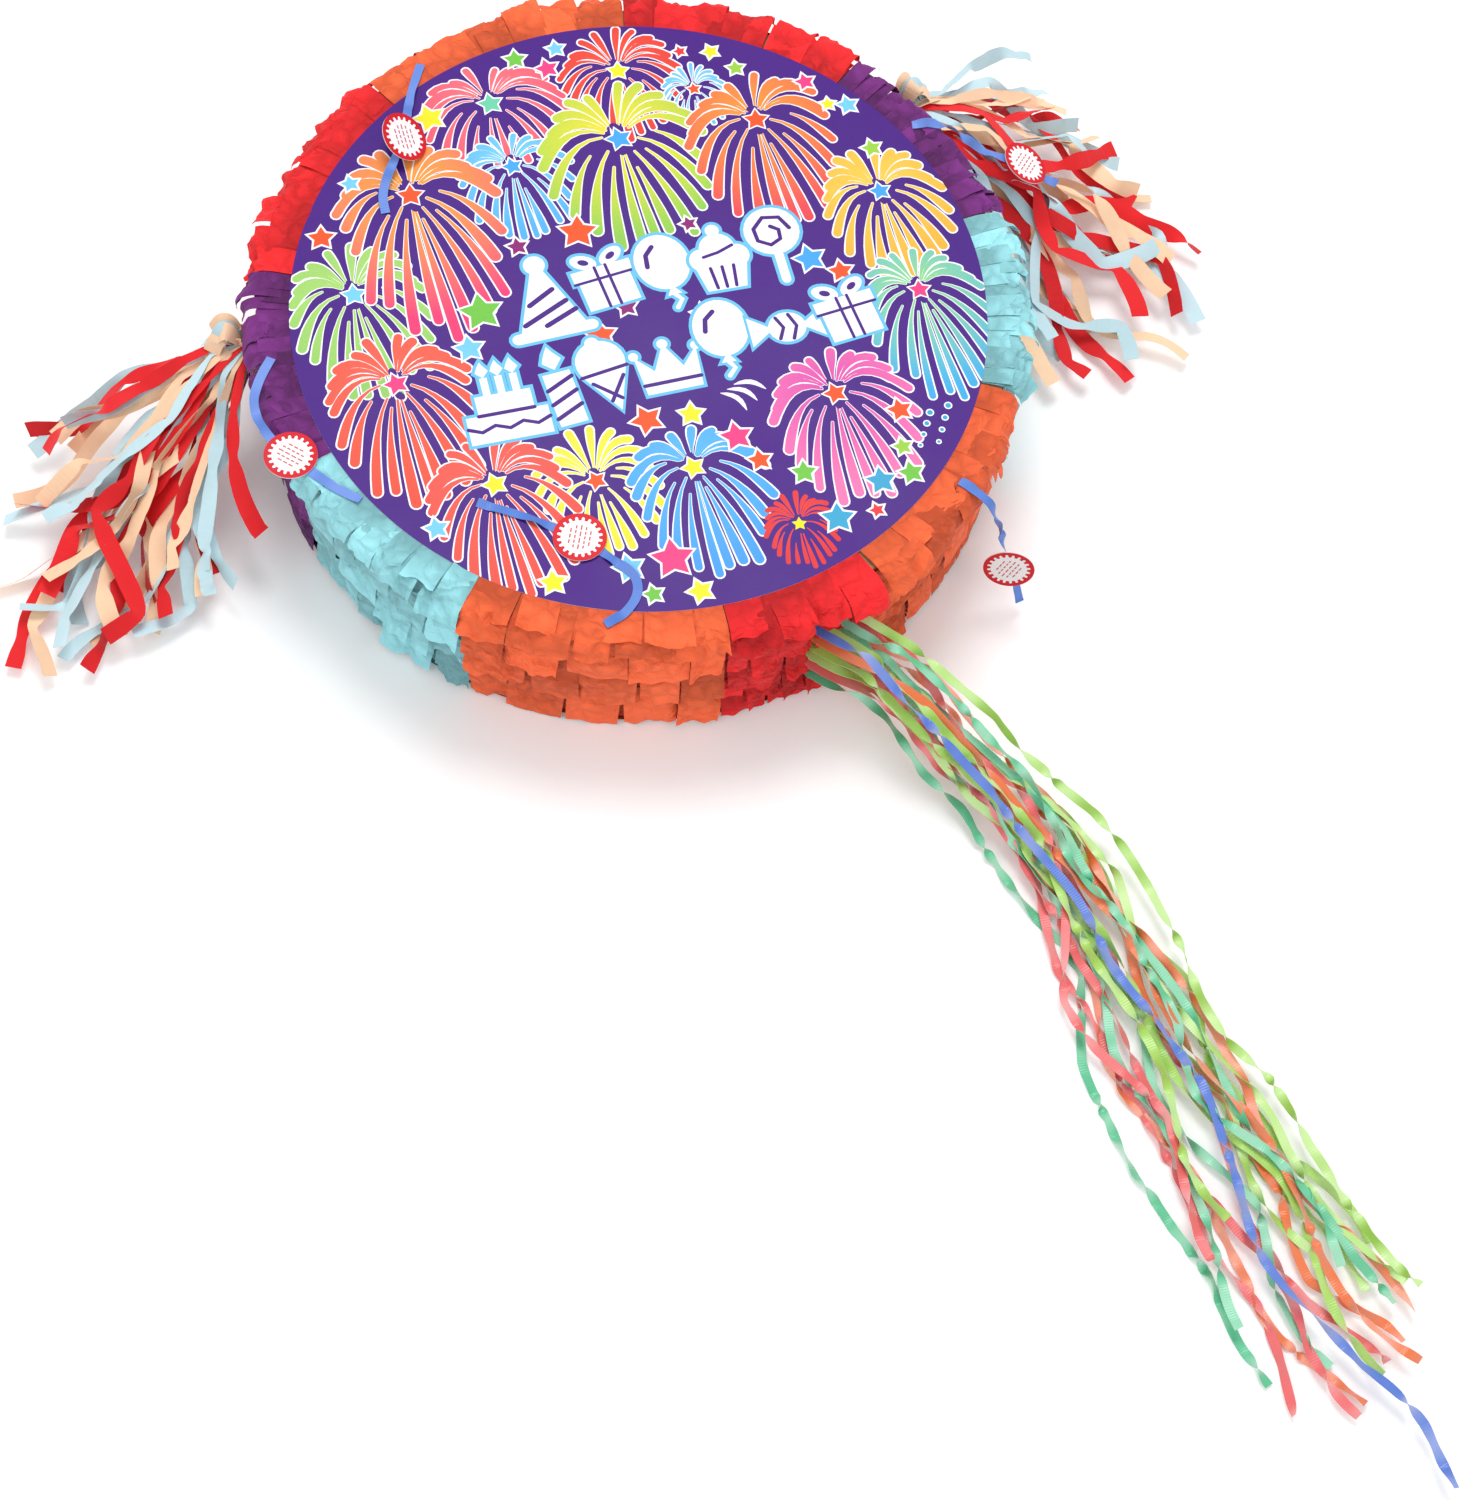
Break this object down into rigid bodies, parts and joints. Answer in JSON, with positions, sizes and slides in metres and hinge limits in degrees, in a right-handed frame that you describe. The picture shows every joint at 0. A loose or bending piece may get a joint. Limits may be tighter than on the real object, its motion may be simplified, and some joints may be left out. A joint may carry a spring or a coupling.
{
  "type": "pull-string pinata",
  "caption": "Round drum-shaped paper pinata with a printed face, fringed tissue rim, side tassels, round tags and a bottom hatch opened by curling pull ribbons.",
  "frame": {"origin": "centre of the back cover's outer face, on the surface the drum lies on", "axes": "+Z leaves the printed face; -Y points to the hatch and the pull ribbons, the bottom when it hangs; +X is to the right seen from the front"},
  "size_m": [0.7422, 0.9267, 0.115],
  "materials": {
    "white_paper": "matte",
    "cardboard": "matte",
    "printed_card": "satin",
    "tissue_red": "matte",
    "tissue_orange": "matte",
    "tissue_sky": "matte",
    "tissue_purple": "matte",
    "loop_string": "matte",
    "crepe_red": "matte",
    "crepe_peach": "matte",
    "crepe_pale": "matte",
    "ribbon_mint": "satin",
    "ribbon_lime": "satin",
    "ribbon_orange": "satin",
    "ribbon_coral": "satin",
    "ribbon_blue": "satin",
    "tag_card": "satin"
  },
  "bodies": {
    "drum": {"back_cover": "white_paper", "back_board": "cardboard", "side_wall": "cardboard", "front_board": "cardboard", "printed_face": "printed_card", "tissue_red_bottom": "tissue_red", "tissue_orange_right": "tissue_orange", "tissue_sky_right": "tissue_sky", "tissue_purple_right": "tissue_purple", "tissue_red_right": "tissue_red", "tissue_orange_top": "tissue_orange", "tissue_red_left": "tissue_red", "tissue_purple_left": "tissue_purple", "tissue_sky_left": "tissue_sky", "tissue_orange_left": "tissue_orange", "tassel_loop_right": "loop_string", "tassel_loop_left": "loop_string"},
    "hatch": {"hatch_flap": "cardboard", "hatch_tissue": "tissue_red", "hatch_knots": "ribbon_mint", "pull_ribbon_01": "ribbon_mint", "pull_ribbon_02": "ribbon_coral", "pull_ribbon_03": "ribbon_lime", "pull_ribbon_04": "ribbon_orange", "pull_ribbon_05": "ribbon_coral", "pull_ribbon_06": "ribbon_lime", "pull_ribbon_07": "ribbon_mint", "pull_ribbon_08": "ribbon_orange", "pull_ribbon_09": "ribbon_lime", "pull_ribbon_10": "ribbon_coral", "pull_ribbon_11": "ribbon_mint", "pull_ribbon_12": "ribbon_orange", "pull_ribbon_13": "ribbon_lime", "pull_ribbon_14": "ribbon_lime", "pull_ribbon_15": "ribbon_mint", "pull_ribbon_16": "ribbon_coral", "pull_ribbon_17": "ribbon_orange", "pull_ribbon_18": "ribbon_lime", "pull_ribbon_19": "ribbon_mint", "pull_ribbon_20": "ribbon_lime", "pull_ribbon_21": "ribbon_blue"},
    "tassel_right": {"tassel_knot_right": "crepe_peach", "tassel_red_right": "crepe_red", "tassel_peach_right": "crepe_peach", "tassel_pale_right": "crepe_pale"},
    "tassel_left": {"tassel_knot_left": "crepe_peach", "tassel_red_left": "crepe_red", "tassel_peach_left": "crepe_peach", "tassel_pale_left": "crepe_pale"},
    "tag_body_1": {"tag_ribbon_1": "ribbon_blue", "tag_1": "tag_card"},
    "tag_body_2": {"tag_ribbon_2": "ribbon_blue", "tag_2": "tag_card"},
    "tag_body_3": {"tag_ribbon_3": "ribbon_blue", "tag_3": "tag_card"},
    "tag_body_4": {"tag_ribbon_4": "ribbon_blue", "tag_4": "tag_card"},
    "tag_body_5": {"tag_ribbon_5": "ribbon_blue", "tag_5": "tag_card"}
  },
  "joints": [
    {"name": "hatch_hinge", "type": "hinge", "parent": "drum", "child": "hatch", "pos_m": [-0.0382, -0.1965, 0.05], "axis": [0, 0, 1], "range_deg": [-90, 0]},
    {"name": "tassel_right_swing", "type": "hinge", "parent": "drum", "child": "tassel_right", "pos_m": [0.19745, 0.07579, 0.067], "axis": [0, 0, 1], "range_deg": [0, 45]},
    {"name": "tassel_left_swing", "type": "hinge", "parent": "drum", "child": "tassel_left", "pos_m": [-0.19745, 0.07579, 0.067], "axis": [0, 0, 1], "range_deg": [-45, 0]},
    {"name": "tag_1_swing", "type": "hinge", "parent": "drum", "child": "tag_body_1", "pos_m": [-0.046, 0.194, 0.0984], "axis": [0, 0, 1], "range_deg": [-20, 20]},
    {"name": "tag_2_swing", "type": "hinge", "parent": "drum", "child": "tag_body_2", "pos_m": [-0.194, 0.046, 0.0984], "axis": [0, 0, 1], "range_deg": [-15, 15]},
    {"name": "tag_3_swing", "type": "hinge", "parent": "drum", "child": "tag_body_3", "pos_m": [-0.099, -0.17, 0.0984], "axis": [0, 0, 1], "range_deg": [-20, 20]},
    {"name": "tag_4_swing", "type": "hinge", "parent": "drum", "child": "tag_body_4", "pos_m": [0.107, -0.168, 0.0984], "axis": [0, 0, 1], "range_deg": [-15, 15]},
    {"name": "tag_5_swing", "type": "hinge", "parent": "drum", "child": "tag_body_5", "pos_m": [0.19, 0.048, 0.0984], "axis": [0, 0, 1], "range_deg": [-15, 15]}
  ]
}
